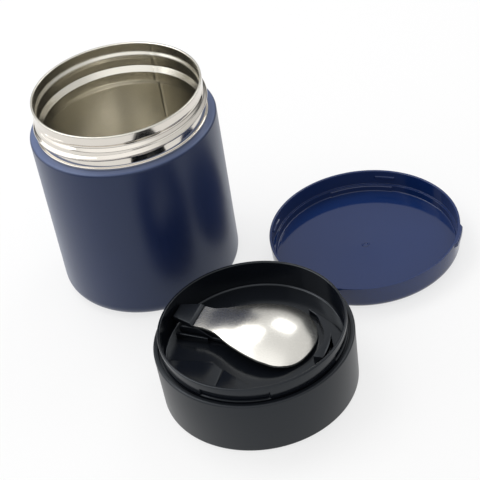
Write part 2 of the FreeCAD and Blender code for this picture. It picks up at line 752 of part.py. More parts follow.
def hinge_knuckle():
    """Plastic block on the spoon's neck: a cap over the ears and a tongue between them."""
    body = new_body("hinge_knuckle", spoon_place())
    turn_spoonwise(body)
    half = d.knuckle_width * 0.5
    rear = d.knuckle_rear * 0.5
    back, front = -d.knuckle_back, -d.knuckle_front
    padded(body, "cap", [
        (back, d.knuckle_under),
        (front, d.knuckle_under),
        (front, d.neck_top + 0.2),
        (front - d.knuckle_slope, d.knuckle_top),
        (back, d.knuckle_top),
    ], d.knuckle_width, role="XZ_Plane", both_ways=True)
    for side, name in ((-1, "near"), (1, "far")):
        padded(body, f"cap_taper_{name}", [
            (back - 1, rear * side),
            (back, rear * side),
            (front, half * side),
            (front, (half + 4) * side),
            (back - 1, (half + 4) * side),
        ], 8, lift=d.knuckle_top + 1, kind="Pocket")
    tongue = d.ear_gap - 0.8
    reach = d.ear_radius
    padded(body, "tongue", [
        (-d.pin_back - reach, d.pin_height),
        (-d.pin_back + reach, d.pin_height),
        (-d.pin_back + reach, d.knuckle_under + 0.2),
        (-d.pin_back - reach, d.knuckle_under + 0.2),
    ], tongue, role="XZ_Plane", both_ways=True)
    rounds = new_sketch(body, "tongue_round", "XZ_Plane")
    draw_circle(rounds, -d.pin_back, d.pin_height, reach)
    raised(body, "tongue_end", rounds, tongue, both_ways=True)
    bore = new_sketch(body, "bore_circle", "XZ_Plane")
    draw_circle(bore, -d.pin_back, d.pin_height, d.pin_radius + 0.06)
    raised(body, "bore", bore, d.knuckle_width * 2, both_ways=True, kind="Pocket")
    padded(body, "tang_slot", [
        (-8.0, -d.neck_half + 1.4),
        (1.0, -d.neck_half + 1.4),
        (1.0, d.neck_half - 1.4),
        (-8.0, d.neck_half - 1.4),
    ], d.bowl_sheet, lift=d.neck_top, kind="Pocket")
    crown = d.knuckle_top.value

    def cap_edge(edge):
        return all(abs(v.Z - crown) < 0.01 for v in edge.Vertexes)

    rounded(body, "cap_edges", 0.5, edges=cap_edge)


# The bowl is drawn by sections across its axis: where along the axis each one stands, how high its
# crown is and how tightly it is curved. The neck is flat, and the bowl swells out of it.
BOWL_SECTIONS = (
    (0.0, 0.0, 400.0),
    (7.0, 0.1, 90.0),
    (16.0, 1.7, 35.5),
    (27.0, 3.8, 33.0),
    (39.0, 4.2, 33.1),
    (50.0, 1.0, 33.1),
    (57.5, -3.6, 26.3),
    (63.5, -8.2, 22.4),
)


def bowl_section(along, crown, curve, half, thick):
    """A closed crescent across the spoon: two arcs and two short sides."""
    drop = curve - math.sqrt(curve ** 2 - half ** 2)
    top = [FreeCAD.Vector(along, y, z) for y, z in
           ((-half, crown - drop), (0, crown), (half, crown - drop))]
    low = [p - FreeCAD.Vector(0, 0, thick) for p in top]
    edges = [
        Part.Arc(*top).toShape(),
        Part.LineSegment(top[2], low[2]).toShape(),
        Part.Arc(low[2], low[1], low[0]).toShape(),
        Part.LineSegment(low[0], top[0]).toShape(),
    ]
    return Part.Wire(edges)


def bowl_plan(z_low, z_high):
    """Plan of neck and bowl as a prism: a smooth curve up one side, mirrored down the other."""
    neck, wide, tip = d.neck_half.value, d.bowl_half.value, d.bowl_length.value
    side = [
        (0.0, neck), (5.0, neck), (12.0, neck + 1.9), (22.0, wide - 5.4), (30.0, wide - 2.2),
        (38.0, wide - 0.2), (44.0, wide), (50.0, wide * 0.929), (55.0, wide * 0.734),
        (58.0, wide * 0.503), (59.5, wide * 0.29), (tip, 0.0),
    ]
    points = [FreeCAD.Vector(x, y, z_low) for x, y in side]
    points += [FreeCAD.Vector(x, -y, z_low) for x, y in reversed(side[:-1])]
    rim = Part.BSplineCurve()
    rim.interpolate(points)
    end = Part.LineSegment(points[-1], points[0])
    face = Part.Face(Part.Wire([rim.toShape(), end.toShape()]))
    return face.extrude(FreeCAD.Vector(0, 0, z_high - z_low))


def spoon_bowl():
    """Brushed steel neck and bowl, turned over, with a tang held in the hinge block."""
    thick = d.bowl_sheet.value
    half = d.bowl_half.value + 0.8
    top = d.neck_top.value
    wires = [bowl_section(x, top + rise, curve, half, thick) for x, rise, curve in BOWL_SECTIONS]
    sheet_metal = Part.makeLoft(wires, True, False)
    bowl = sheet_metal.common(bowl_plan(top - 12.0, top + 6.0))
    tang_half = d.neck_half.value - 1.4
    tang = Part.makeBox(8.3, 2 * tang_half, thick, FreeCAD.Vector(-8.0, -tang_half, top - thick))
    shape = bowl.fuse(tang).removeSplitter()
    feature = doc.addObject("Part::Feature", "spoon_bowl")
    feature.Label = "spoon_bowl"
    feature.Shape = shape
    x, y, z = (Size.of(s).value for s in spoon_place())
    turn = FreeCAD.Rotation(FreeCAD.Vector(0, 0, 1), d.spoon_angle.value)
    feature.Placement = FreeCAD.Placement(FreeCAD.Vector(x, y, z), turn)


# The push-on cover, turned over.


def snap_cover():
    """Navy cover: round-edged top plate, stepped skirt, four catch lugs and a finger tab."""
    body = new_body("snap_cover", (d.cover_x, d.cover_y, 0))
    body.setExpression("Placement.Rotation.Angle", d.cover_turn.text)
    skirt = d.cover_radius - d.cover_wall
    foot = d.cover_radius - d.cover_taper
    turned(body, "cover_dish", [
        (0, 0),
        (foot, 0),
        (d.cover_radius, d.cover_rim),
        (skirt, d.cover_rim),
        (skirt, d.cover_step),
        (d.cover_inner, d.cover_step),
        (d.cover_inner, d.cover_floor),
        (d.gate_radius, d.cover_floor),
        (d.gate_radius, d.cover_floor + d.gate_proud),
        (0, d.cover_floor + d.gate_proud),
    ])
    rounded(body, "plate_edge", d.cover_round, [(foot, 0)])
    rounded(body, "plate_edge_inside", 1.2, [(d.cover_inner, d.cover_floor)])
    under = d.cover_rim - d.tab_height
    turned(body, "finger_tab", [
        (d.cover_radius - 0.6, under),
        (d.cover_radius + d.tab_depth * 0.7, under),
        (d.cover_radius + d.tab_depth, under + 0.8),
        (d.cover_radius + d.tab_depth, d.cover_rim - 0.5),
        (d.cover_radius + d.tab_depth * 0.7, d.cover_rim),
        (d.cover_radius - 0.6, d.cover_rim),
    ], angle=d.tab_angle)
    turned(body, "thick_wall", [
        (d.cover_inner - d.thick_proud, d.cover_floor - 0.2),
        (d.cover_inner + 0.3, d.cover_floor - 0.2),
        (d.cover_inner + 0.3, d.thick_top),
        (d.cover_inner - d.thick_proud, d.thick_top),
    ], angle=d.thick_angle, turn_by=d.thick_turn)
    lug = turned(body, "catch_lug", [
        (skirt - d.lug_depth, d.lug_low + 0.5),
        (skirt + 0.2, d.lug_low),
        (skirt + 0.2, d.lug_high),
        (skirt - d.lug_depth, d.lug_high - 0.3),
    ], angle=d.lug_angle)
    patterned(body, "catch_lugs", lug, 4)


PIECES = [
    outer_shell, neck_ring, inner_vessel, inner_bottom, outer_bottom, vacuum_plug, getter,
    radiation_foil, base_cover,
    lid_shell, spoon_tray, insulation_disc, stopper_cup, lid_gasket,
    spoon_handle, hinge_pin, hinge_knuckle, spoon_bowl,
    snap_cover,
]


def check_and_write():
    """Stops on any failed object or bad solid, then writes one file for each piece."""
    doc.recompute()
    for item in doc.Objects:
        if {"Invalid", "Error"} & set(item.State):
            raise RuntimeError(f"{item.Label} failed: {item.State}")
    os.makedirs("parts", exist_ok=True)
    shapes = {}
    for make in PIECES:
        name = make.__name__
        item = doc.getObjectsByLabel(name)[0]
        shape = item.Shape
        if shape.isNull() or not shape.isValid() or len(shape.Solids) != 1:
            raise RuntimeError(f"{name}: {len(shape.Solids)} solids, valid {shape.isValid()}")
        shapes[name] = shape
    for name, shape in shapes.items():
        shape.exportStep(f"parts/{name}.step")
        box = shape.BoundBox
        print(f"{name:16s} {shape.Volume / 1000:8.2f} cm3  z {box.ZMin:6.1f} to {box.ZMax:6.1f}")


for make_piece in PIECES:
    make_piece()
check_and_write()
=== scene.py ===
# %% [markdown]
# An insulated food jar, laid open on a pale table: the jar with its bright screw neck, the black screw
# lid with a folded spoon in the compartment on top, and the navy cover of that compartment, turned over.
# The construction is already fixed. This lesson loads it, and then gives each visible piece its real
# surface: soft edges, the screw thread, the brushed steel, the powder coat and the moulded plastics.

# %% Load the frame
import math

import bmesh
import bpy
from mathutils import Matrix, Vector


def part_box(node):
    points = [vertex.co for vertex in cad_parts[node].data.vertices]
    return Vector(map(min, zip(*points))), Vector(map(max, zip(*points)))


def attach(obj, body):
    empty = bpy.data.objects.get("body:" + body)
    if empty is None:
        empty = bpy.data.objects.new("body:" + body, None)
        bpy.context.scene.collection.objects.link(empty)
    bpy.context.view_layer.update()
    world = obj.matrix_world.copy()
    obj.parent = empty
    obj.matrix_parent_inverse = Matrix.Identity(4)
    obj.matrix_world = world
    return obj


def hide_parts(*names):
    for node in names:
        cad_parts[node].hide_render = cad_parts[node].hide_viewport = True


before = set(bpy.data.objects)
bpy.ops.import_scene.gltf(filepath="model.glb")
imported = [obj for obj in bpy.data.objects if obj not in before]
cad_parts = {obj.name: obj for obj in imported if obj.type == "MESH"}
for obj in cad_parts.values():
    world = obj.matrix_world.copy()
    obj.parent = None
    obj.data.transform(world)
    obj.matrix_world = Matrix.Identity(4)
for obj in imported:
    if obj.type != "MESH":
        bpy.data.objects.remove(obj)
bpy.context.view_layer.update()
MM = 0.001
print("nodes", sorted(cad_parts))

# %% [markdown]
# Most of the jar is turned work: bottle, neck, lid and cover are all round about an upright axis. A piece
# like that could be cut from a cylinder with modifiers, but its section says it better. So one helper
# takes the corners of a section, each with the radius that it is rounded by, and turns them.

# %% Rounded sections
ON_AXIS = 1e-6
MOST_OF_SIDE = 0.49


def rounded_section(corners, steps=5):
    """Points round a closed section. Each corner is (radius, height) or (radius, height, rounding)."""
    points = []
    count = len(corners)
    for i, corner in enumerate(corners):
        here = Vector(corner[:2])
        size = corner[2] if len(corner) > 2 else 0.0
        before = Vector(corners[i - 1][:2]) - here
        after = Vector(corners[(i + 1) % count][:2]) - here
        if size <= 0 or before.length == 0 or after.length == 0:
            points.append(here)
            continue
        a, b = before.normalized(), after.normalized()
        half = a.angle(b) / 2
        reach = min(size / math.tan(half), MOST_OF_SIDE * before.length, MOST_OF_SIDE * after.length)
        size = reach * math.tan(half)
        centre = here + (a + b).normalized() * size / math.sin(half)
        start, end = here + a * reach - centre, here + b * reach - centre
        swing = start.angle_signed(end)
        for k in range(steps + 1):
            turn = Matrix.Rotation(-swing * k / steps, 2)
            points.append(centre + turn @ start)
    return points


def turned_mesh(name, corners, centre=(0, 0), shape=None, segments=240, steps=5):
    """Turns a closed section, in millimetres, about an upright axis. shape(r, z, angle) may bend it."""
    section = rounded_section(corners, steps)
    mesh = bmesh.new()
    rings = []
    for r, z in section:
        if r < ON_AXIS:
            rings.append([mesh.verts.new((centre[0] * MM, centre[1] * MM, z * MM))])
            continue
        ring = []
        for k in range(segments):
            angle = 2 * math.pi * k / segments
            rr, zz = shape(r, z, angle) if shape else (r, z)
            x = centre[0] + rr * math.cos(angle)
            y = centre[1] + rr * math.sin(angle)
            ring.append(mesh.verts.new((x * MM, y * MM, zz * MM)))
        rings.append(ring)
    count = len(rings)
    for i in range(count):
        a, b = rings[i], rings[(i + 1) % count]
        if len(a) == 1 and len(b) == 1:
            continue
        for k in range(segments):
            n = (k + 1) % segments
            quad = [a[k % len(a)], a[n % len(a)], b[n % len(b)], b[k % len(b)]]
            mesh.faces.new(list(dict.fromkeys(quad)))
    return finish_mesh(name, mesh)


def finish_mesh(name, mesh, sharp=32):
    """Faces outwards, smooth shading, with edges kept crisp where the form turns sharply."""
    bmesh.ops.recalc_face_normals(mesh, faces=mesh.faces[:])
    data = bpy.data.meshes.new(name)
    mesh.to_mesh(data)
    mesh.free()
    data.shade_smooth()
    data.set_sharp_from_angle(angle=math.radians(sharp))
    piece = bpy.data.objects.new(name, data)
    bpy.context.scene.collection.objects.link(piece)
    return piece


# %% [markdown]
# Blocks and ribs are flat outlines with height, and a moulded or pressed edge is never knife-sharp. The
# second helper raises an outline and rounds its edges with a real bevel, so that the edges catch light.

# %% Raised outlines
BEVEL_FROM = math.radians(25)


def add_part(mesh, part, place=None):
    """Moves a part to its place and adds it to a mesh."""
    if place is not None:
        bmesh.ops.transform(part, matrix=place, verts=part.verts[:])
    data = bpy.data.meshes.new("part")
    part.to_mesh(data)
    part.free()
    mesh.from_mesh(data)
    bpy.data.meshes.remove(data)


def raised_mesh(mesh, outline, low, high, bevel=0.3, place=None):
    """Adds a bevelled prism to a mesh: outline in millimetres, place a matrix for its points."""
    part = bmesh.new()
    base = [part.verts.new((x, y, low)) for x, y in outline]
    top = [part.verts.new((x, y, high)) for x, y in outline]
    part.faces.new(base)
    part.faces.new(list(reversed(top)))
    for i in range(len(base)):
        n = (i + 1) % len(base)
        part.faces.new((base[i], top[i], top[n], base[n]))
    bmesh.ops.recalc_face_normals(part, faces=part.faces[:])
    if bevel:
        sharp = [e for e in part.edges if e.calc_face_angle(0) > BEVEL_FROM]
        bmesh.ops.bevel(part, geom=sharp, offset=bevel, segments=3, profile=0.5, affect="EDGES")
    bmesh.ops.scale(part, vec=(MM, MM, MM), verts=part.verts[:])
    add_part(mesh, part, place)


# %% [markdown]
# A finish is a small network of shader nodes. Written as node-by-node calls it is hard to read, so a
# wrapper lets values be added and multiplied like numbers, and one method makes every other node.

# %% Shader helpers
class Wire:
    """One output socket, with arithmetic that adds Math nodes."""

    def __init__(self, finish, socket):
        self.finish = finish
        self.socket = socket

    def math(self, operation, other, flip=False):
        pair = (other, self) if flip else (self, other)
        return self.finish.make("ShaderNodeMath", {"operation": operation}, {0: pair[0], 1: pair[1]})

    def __add__(self, other):
        return self.math("ADD", other)

    __radd__ = __add__

    def __mul__(self, other):
        return self.math("MULTIPLY", other)

    __rmul__ = __mul__

    def __sub__(self, other):
        return self.math("SUBTRACT", other)

    def __rsub__(self, other):
        return self.math("SUBTRACT", other, flip=True)


class Finish:
    """A material under construction."""

    def __init__(self, name):
        self.material = bpy.data.materials.new(name)
        self.material.use_nodes = True
        self.tree = self.material.node_tree
        self.shader = self.tree.nodes["Principled BSDF"]

    def make(self, kind, settings=None, values=None, out=0):
        """Adds a node: its settings first, then values or wires for its inputs."""
        node = self.tree.nodes.new(kind)
        for key, value in (settings or {}).items():
            if key == "stops":
                set_stops(node.color_ramp, value)
            else:
                setattr(node, key, value)
        for key, value in (values or {}).items():
            self.feed(node.inputs[key], value)
        return Wire(self, node.outputs[out])

    def feed(self, socket, value):
        if isinstance(value, Wire):
            self.tree.links.new(value.socket, socket)
        else:
            socket.default_value = value

    def surface(self, **values):
        """Sets the main shader's inputs; an underscore in a name stands for a space."""
        for key, value in values.items():
            self.feed(self.shader.inputs[key.replace("_", " ")], value)
        return self.material

    def grain(self, scale, stretch=(1, 1, 1), detail=3.0, turn=0.0):
        """Noise in the object's own metres, stretched along its axes."""
        place = self.make("ShaderNodeTexCoord", out=3)
        place = self.make("ShaderNodeMapping", values={
            "Vector": place, "Rotation": (0, 0, turn), "Scale": stretch})
        return self.make("ShaderNodeTexNoise", values={
            "Vector": place, "Scale": scale, "Detail": detail})

    def relief(self, height, depth, strength=1.0):
        """A bump from a height wire; depth in metres."""
        return self.make("ShaderNodeBump", values={
            "Height": height, "Distance": depth, "Strength": strength})

    def blend(self, factor, first, second):
        return self.make("ShaderNodeMix", {"data_type": "RGBA"}, {
            "Factor": factor, 6: first, 7: second}, out=2)


def set_stops(ramp, stops):
    while len(ramp.elements) < len(stops):
        ramp.elements.new(0.5)
    for element, (place, shade) in zip(ramp.elements, stops):
        element.position = place
        element.color = (shade, shade, shade, 1)


# %% [markdown]
# The jar's body is powder coated: a navy with a very fine orange-peel skin, which spreads every highlight.
# A roughness near zero would look like gloss paint, and a high one would lose the long soft highlight down
# the side. So it stays near 0.3 and drifts a little, as sprayed powder does, and the skin is a tiny bump.
# On the flat shoulder the coat's colour is painted paler: a painted highlight for the light that falls on
# the top.

# %% Powder coat
# Heights over which the shoulder's painted highlight fades in.
PAINTED_LIGHT_FROM, PAINTED_LIGHT_TO = 0.0942, 0.0948


def navy_powder_coat():
    finish = Finish("navy_powder_coat")
    skin = finish.grain(1400, detail=2.0)
    drift = finish.grain(40)
    navy = finish.blend(drift, (0.004, 0.011, 0.052, 1), (0.006, 0.014, 0.062, 1))
    place = finish.make("ShaderNodeTexCoord", out=3)
    height = finish.make("ShaderNodeSeparateXYZ", values={0: place}, out=2)
    # Painted highlight: above the shoulder's height the navy is painted paler, for the light on the flat
    # top.
    shoulder_painted_light = finish.make("ShaderNodeMapRange", values={
        "Value": height, "From Min": PAINTED_LIGHT_FROM, "From Max": PAINTED_LIGHT_TO})
    return finish.surface(
        Base_Color=finish.blend(shoulder_painted_light, navy, (0.105, 0.140, 0.270, 1)),
        Roughness=0.27 + drift * 0.09,
        Specular_IOR_Level=0.5,
        Specular_Tint=(0.80, 0.90, 1.0, 1),
        Sheen_Weight=0.12,
        Sheen_Roughness=0.4,
        Sheen_Tint=(0.60, 0.75, 1.0, 1),
        Normal=finish.relief(skin, 0.00005, 0.4),
    )


# %% [markdown]
# Steel shows how it was worked. The neck is polished after its thread is rolled, so it mirrors the room.
# The inside of the jar is brushed round and round, and the spoon is brushed along its length: the same
# noise does both, squeezed along one axis until it becomes lines.

# %% Steels
def polished_steel():
    finish = Finish("polished_neck_steel")
    lines = finish.grain(90, stretch=(1, 1, 26), detail=4.0)
    return finish.surface(
        Base_Color=(0.72, 0.68, 0.62, 1),
        Metallic=1.0,
        Roughness=0.05 + lines * 0.06,
    )


def brushed_vessel_steel():
    finish = Finish("brushed_vessel_steel")
    lines = finish.grain(120, stretch=(1, 1, 40), detail=5.0)
    cloud = finish.grain(18)
    return finish.surface(
        Base_Color=finish.blend(cloud, (0.68, 0.66, 0.59, 1), (0.76, 0.73, 0.66, 1)),
        Metallic=1.0,
        Roughness=0.16 + lines * 0.12,
        Normal=finish.relief(lines, 0.00004, 0.4),
    )


SPOON_TURN = math.radians(-28.5)


def brushed_spoon_steel():
    finish = Finish("brushed_spoon_steel")
    lines = finish.grain(220, stretch=(1, 40, 40), detail=4.0, turn=-SPOON_TURN)
    return finish.surface(
        Base_Color=(0.81, 0.79, 0.735, 1),
        Metallic=1.0,
        Roughness=0.24 + lines * 0.06,
        Normal=finish.relief(lines, 0.000015, 0.12),
    )


def plain_steel():
    finish = Finish("plain_pressed_steel")
    lines = finish.grain(300, detail=2.0)
    return finish.surface(
        Base_Color=(0.62, 0.61, 0.59, 1),
        Metallic=1.0,
        Roughness=0.30 + lines * 0.12,
    )


# %% [markdown]
# Moulded plastic takes its skin from the mould. The black lid has a satin skin and the compartment in it
# a smoother one; the navy cover is nearly glossy, so that its flat plate mirrors the pale room.

# %% Plastics, silicone and foam
def black_plastic_skin(name, roughness):
    finish = Finish(name)
    skin = finish.grain(900, detail=2.0)
    drift = finish.grain(30)
    return finish.surface(
        Base_Color=finish.blend(drift, (0.0035, 0.0045, 0.0070, 1), (0.0055, 0.0068, 0.0095, 1)),
        Roughness=roughness + drift * 0.08,
        Specular_IOR_Level=0.40,
        Specular_Tint=(0.86, 0.93, 1.0, 1),
        Normal=finish.relief(skin, 0.00003, 0.3),
    )


def navy_cover_plastic():
    finish = Finish("navy_cover_plastic")
    skin = finish.grain(500, detail=2.0)
    drift = finish.grain(22)
    return finish.surface(
        Base_Color=finish.blend(drift, (0.006, 0.022, 0.100, 1), (0.008, 0.027, 0.118, 1)),
        Roughness=0.05 + drift * 0.04,
        Normal=finish.relief(skin, 0.00001, 0.1),
    )


def pale_silicone():
    finish = Finish("pale_silicone")
    drift = finish.grain(60)
    return finish.surface(
        Base_Color=finish.blend(drift, (0.50, 0.51, 0.52, 1), (0.58, 0.59, 0.60, 1)),
        Roughness=0.48 + drift * 0.08,
        Subsurface_Weight=0.1,
        Subsurface_Radius=(0.002, 0.002, 0.002),
    )


def white_foam():
    finish = Finish("white_bead_foam")
    beads = finish.make("ShaderNodeTexVoronoi", values={"Scale": 420})
    return finish.surface(
        Base_Color=finish.blend(beads, (0.82, 0.82, 0.79, 1), (0.70, 0.70, 0.67, 1)),
        Roughness=0.9,
        Normal=finish.relief(beads, 0.0004),
    )


def shield_foil():
    finish = Finish("heat_shield_foil")
    crease = finish.grain(70, detail=4.0)
    return finish.surface(
        Base_Color=(0.80, 0.80, 0.82, 1),
        Metallic=1.0,
        Roughness=0.22,
        Normal=finish.relief(crease, 0.0004),
    )


coat = navy_powder_coat()
neck_steel = polished_steel()
vessel_steel = brushed_vessel_steel()
spoon_steel = brushed_spoon_steel()
pressed_steel = plain_steel()
lid_plastic = black_plastic_skin("satin_black_plastic", 0.32)
tray_plastic = black_plastic_skin("smooth_black_plastic", 0.12)
cover_plastic = navy_cover_plastic()
silicone = pale_silicone()
foam = white_foam()
foil = shield_foil()


# %% [markdown]
# Every piece rides on the body that carries it, takes its finish from a named slot, and stands in for the
# construction node that it was drawn over. One helper does all three, so none of them is forgotten.

# %% Seating a piece
def seat(piece, body, node, material):
    piece.data.materials.clear()
    piece.data.materials.append(material)
    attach(piece, body)
    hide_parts(node)
    low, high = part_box(node)
    print(piece.name, "for", node, [round(v * 1000, 1) for v in (*low, *high)])


# %% [markdown]
# The coated body: a tube that narrows by half a millimetre towards its foot, a flat shoulder with a small
# round edge, and a generous curve at the foot. It is a sheet, so the section goes down the outside and
# back up the inside.

# %% Coated body
shell_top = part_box("outer_shell")[1]
JAR_RADIUS = shell_top.x / MM
SHOULDER = shell_top.z / MM
NECK_RADIUS = 44.2
FOOT_RADIUS = JAR_RADIUS - 0.6
FOOT_ROUND = 12.0
BASE_RADIUS = 33.0
SHEET = 0.8

body_piece = turned_mesh("coated_body", [
    (NECK_RADIUS, SHOULDER),
    (JAR_RADIUS, SHOULDER, 1.4),
    (FOOT_RADIUS, 0, FOOT_ROUND),
    (BASE_RADIUS, 0, 0.3),
    (BASE_RADIUS, SHEET),
    (FOOT_RADIUS - SHEET, SHEET, FOOT_ROUND - SHEET),
    (JAR_RADIUS - SHEET, SHOULDER - SHEET, 0.6),
    (NECK_RADIUS, SHOULDER - SHEET),
], steps=10)
seat(body_piece, "jar", "outer_shell", coat)

# %% [markdown]
# The thread is rolled into the neck's sheet, so it is a soft ridge that climbs as it goes round and fades
# out at both ends. It could be a swept tube joined to the neck, but then the joint would show. Here the
# neck's own surface is pushed out by a smooth bump whose height follows the angle. Just below the lip the
# two sheets are rolled in together: a shallow groove that shows as a dark line outside and as a bright
# band inside.

# %% Neck with its rolled thread
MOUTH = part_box("inner_vessel")[1].z / MM
THREAD_MIDDLE = 104.4
THREAD_PITCH = 7.0
THREAD_PROUD = 1.5
THREAD_HALF = 1.9
THREAD_TURNS = 1.25
THREAD_START = math.radians(150)
THREAD_FADE = 0.06
BEAD_RADIUS = 45.0
BEAD_HEIGHT = 1.7
NECK_SHEET = 0.6
LAP = 0.7


def thread_bump(z, angle):
    """How far the thread stands out at a height and an angle."""
    best = 0.0
    for lap in range(-1, 3):
        along = (angle - THREAD_START) / (2 * math.pi) + lap
        if not 0 <= along <= THREAD_TURNS:
            continue
        middle = THREAD_MIDDLE - THREAD_PITCH * (THREAD_TURNS / 2 - along)
        across = abs(z - middle) / THREAD_HALF
        if across >= 1:
            continue
        fade = min(1.0, along / THREAD_FADE, (THREAD_TURNS - along) / THREAD_FADE)
        best = max(best, fade * 0.5 * (1 + math.cos(math.pi * across)))
    return best * THREAD_PROUD


GROOVE_LOW, GROOVE_HIGH = 105.0, 110.0
GROOVE_INSIDE, GROOVE_OUTSIDE = 107.0, 107.8
GROOVE_DEEP = 1.3


def groove(z, deepest):
    """Draws the sheet in between the groove's edges, most at the height called deepest."""
    if z >= deepest:
        across = (z - deepest) / (GROOVE_HIGH - deepest)
    else:
        across = (deepest - z) / (deepest - GROOVE_LOW)
    return 0.5 * (1 + math.cos(math.pi * min(1.0, across)))


def neck_shape(r, z, angle):
    if r < NECK_RADIUS - NECK_SHEET / 2:
        return r - groove(z, GROOVE_INSIDE), z
    return r + thread_bump(z, angle) - GROOVE_DEEP * groove(z, GROOVE_OUTSIDE), z


def upright(radius, low, high, step=0.3):
    """Points up or down a straight wall, close enough together to carry the thread."""
    count = max(1, int(abs(high - low) / step))
    return [(radius, low + (high - low) * k / count) for k in range(count + 1)]


neck_low = SHOULDER + BEAD_HEIGHT
neck_piece = turned_mesh("threaded_neck", [
    *upright(NECK_RADIUS - NECK_SHEET, SHOULDER - LAP, MOUTH - LAP, 0.5),
    *upright(NECK_RADIUS, MOUTH - LAP, neck_low + 0.3, 0.2),
    (NECK_RADIUS + 0.1, neck_low),
    (BEAD_RADIUS, neck_low, 0.7),
    (BEAD_RADIUS, SHOULDER, 0.2),
    (NECK_RADIUS, SHOULDER),
    (NECK_RADIUS, SHOULDER - LAP),
], shape=neck_shape, segments=600, steps=4)
seat(neck_piece, "jar", "neck_ring", neck_steel)

# %% [markdown]
# Inside, the sheet turns over the lip, runs down to a sloping seat where the stopper's ring seals, pinches
# in at the throat and opens out again into the vessel. The vessel is a rolled tube, so one fine upright
# weld shows on its wall; it is a ridge of a quarter of a millimetre. Below the lip the wall bulges in
# with the neck's rolled groove.

# %% Vessel lining
MOUTH_RADIUS = 43.0
THROAT_RADIUS = 41.2
VESSEL_RADIUS = 44.9
VESSEL_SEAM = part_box("inner_vessel")[0].z / MM
LINING = 0.5
SEAT_TOP, SEAT_FOOT = 100.6, 97.4
THROAT_FOOT, VESSEL_TOP = 92.15, 88.0
CREASE = LINING / 2
WELD_ANGLE = math.radians(62)
WELD_PROUD = 0.25
WELD_HALF = 0.8


def weld_ridge(r, z, angle):
    near = abs(angle - WELD_ANGLE) * r
    ridge = WELD_PROUD * max(0.0, 1 - near / WELD_HALF) if r < VESSEL_RADIUS + 0.1 else 0.0
    return r - ridge - groove(z, GROOVE_INSIDE), z


lining_piece = turned_mesh("vessel_lining", [
    (MOUTH_RADIUS, MOUTH, 0.5),
    (NECK_RADIUS, MOUTH, 0.5),
    (NECK_RADIUS, MOUTH - 0.6),
    *upright(MOUTH_RADIUS + LINING, MOUTH - 0.6, SEAT_TOP - CREASE, 0.8),
    (THROAT_RADIUS + LINING, SEAT_FOOT - CREASE, 0.9),
    (THROAT_RADIUS + LINING, THROAT_FOOT + CREASE, 1.2),
    (VESSEL_RADIUS + LINING, VESSEL_TOP + CREASE, 1.2),
    (VESSEL_RADIUS + LINING, VESSEL_SEAM),
    (VESSEL_RADIUS, VESSEL_SEAM),
    (VESSEL_RADIUS, VESSEL_TOP, 1.6),
    (THROAT_RADIUS, THROAT_FOOT, 1.6),
    (THROAT_RADIUS, SEAT_FOOT, 0.8),
    (MOUTH_RADIUS, SEAT_TOP, 0.5),
    *upright(MOUTH_RADIUS, SEAT_TOP + 1.0, 113.4),
], shape=weld_ridge, segments=540, steps=6)
seat(lining_piece, "jar", "inner_vessel", vessel_steel)

# %% [markdown]
# The floor of the vessel is a pressed dish with a wide inner curve and a shallow raised ring, which keeps
# the thin sheet from drumming.

# %% Vessel floor
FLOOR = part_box("inner_bottom")[0].z / MM + LINING
FLOOR_ROUND = 7.5
RAISED = 0.5
floor_piece = turned_mesh("vessel_floor", [
    (0, FLOOR - LINING),
    (VESSEL_RADIUS + LINING, FLOOR - LINING, FLOOR_ROUND + LINING),
    (VESSEL_RADIUS + LINING, VESSEL_SEAM),
    (VESSEL_RADIUS, VESSEL_SEAM),
    (VESSEL_RADIUS, FLOOR, FLOOR_ROUND),
    (26, FLOOR, 2.0),
    (24, FLOOR + RAISED, 2.0),
    (0, FLOOR + RAISED),
], steps=9)
seat(floor_piece, "jar", "inner_bottom", vessel_steel)

# %% [markdown]
# The base cover is a pressed disc with one ring swaged into it. It is seen only from below.

# %% Base cover
base_piece = turned_mesh("base_disc", [
    (0, 0),
    (21, 0, 0.6),
    (21.6, 0.5, 0.4),
    (27, 0.5, 0.4),
    (27.6, 0, 0.6),
    (BASE_RADIUS - 0.1, 0, 0.2),
    (BASE_RADIUS - 0.1, SHEET),
    (27.6, SHEET, 0.6),
    (27, SHEET + 0.5, 0.4),
    (21.6, SHEET + 0.5, 0.4),
    (21, SHEET, 0.6),
    (0, SHEET),
])
seat(base_piece, "jar", "base_cover", pressed_steel)

# %% [markdown]
# The lid is one thick moulding: a screw skirt that narrows a little to its open end, a ledge on which the
# cover rests, and a groove round the foot of the compartment's ring. Inside, a square thread climbs the
# wall; it faces the table, but it shows when the lid is lifted.

# %% Lid
shell_low, shell_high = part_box("lid_shell")
LID = ((shell_low.x + shell_high.x) / 2 / MM, (shell_low.y + shell_high.y) / 2 / MM)
LID_RADIUS = (shell_high.x - shell_low.x) / 2 / MM
LID_FOOT = LID_RADIUS - 0.7
LEDGE = shell_high.z / MM
SKIRT_INSIDE = LID_RADIUS - 3.3
DECK_UNDER = 20.3
DECK_TOP = 21.9
RING_RADIUS = 46.3
FOOT_GAP = 1.2
LID_THREAD_FOOT = 6.0
LID_THREAD_TURNS = 1.7
LID_THREAD_HALF = 1.7
LID_THREAD_SLOPE = 0.8
LID_THREAD_PROUD = 1.6
LID_THREAD_FADE = 0.05
print("lid centre", LID, "radius", round(LID_RADIUS, 2))


def lid_thread(r, z, angle):
    """Pushes the skirt's inner wall in where the thread runs."""
    if abs(r - SKIRT_INSIDE) > 0.01 or not 1.0 < z < 19:
        return r, z
    best = 0.0
    for lap in range(3):
        along = angle / (2 * math.pi) + lap
        if along > LID_THREAD_TURNS:
            continue
        middle = LID_THREAD_FOOT + along * THREAD_PITCH
        fade = min(1.0, along / LID_THREAD_FADE, (LID_THREAD_TURNS - along) / LID_THREAD_FADE)
        across = max(0.0, LID_THREAD_HALF - abs(z - middle))
        best = max(best, fade * min(1.0, across / LID_THREAD_SLOPE))
    return r - LID_THREAD_PROUD * best, z


